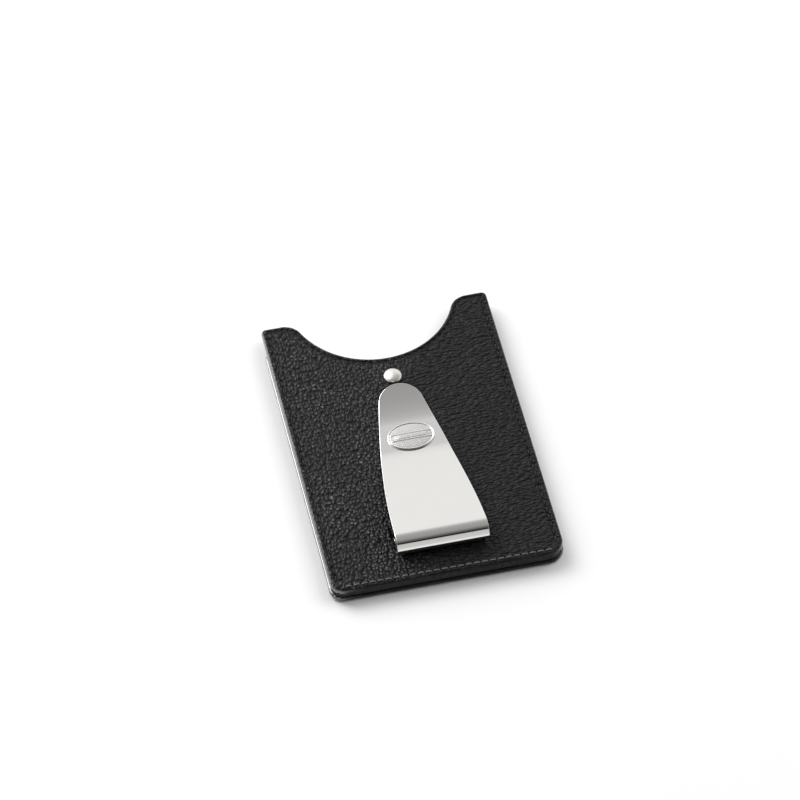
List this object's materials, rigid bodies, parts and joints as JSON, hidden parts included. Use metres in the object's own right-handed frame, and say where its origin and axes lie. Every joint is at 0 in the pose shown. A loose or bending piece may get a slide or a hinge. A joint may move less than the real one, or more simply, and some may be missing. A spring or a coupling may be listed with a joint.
{
  "type": "card case with money clip",
  "caption": "Slim black leather card case with a scooped thumb notch, stitched edges and a tapered steel money clip riveted to its front.",
  "frame": {"origin": "middle of the back face's bounding box, where the case rests lying down", "axes": "+Z out of the front face that carries the clip, +Y towards the thumb notch, +X to the right seen from the front"},
  "size_m": [0.07, 0.102, 0.0116],
  "materials": {
    "case_leather": "black pebbled grain, semi-gloss",
    "edge_leather": "painted and burnished edge",
    "board": "plain stiffening board",
    "lining": "fine black twill",
    "thread": "waxed black thread",
    "clip_steel": "polished stainless steel",
    "badge_steel": "satin field with a polished rim",
    "rivet_nickel": "polished nickel plate"
  },
  "bodies": {
    "case": {"front_leather": "case_leather", "front_stiffener": "board", "front_lining": "lining", "back_leather": "case_leather", "back_stiffener": "board", "back_lining": "lining", "left_edge_strip": "edge_leather", "right_edge_strip": "edge_leather", "bottom_edge_strip": "edge_leather", "front_left_stitches": "thread", "front_right_stitches": "thread", "front_bottom_stitches": "thread", "front_notch_stitches": "thread", "back_left_stitches": "thread", "back_right_stitches": "thread", "back_bottom_stitches": "thread", "back_notch_stitches": "thread", "clip_mounting_leg": "clip_steel", "rivet_cap": "rivet_nickel", "rivet_post": "rivet_nickel"},
    "tongue": {"clip_tongue": "clip_steel", "clip_badge": "badge_steel"}
  },
  "joints": [
    {"name": "clip_flex", "type": "hinge", "parent": "case", "child": "tongue", "pos_m": [0, -0.0392, 0.00865], "axis": [1, 0, 0], "range_deg": [0, 8], "stiffness_Nm_per_rad": 6}
  ]
}
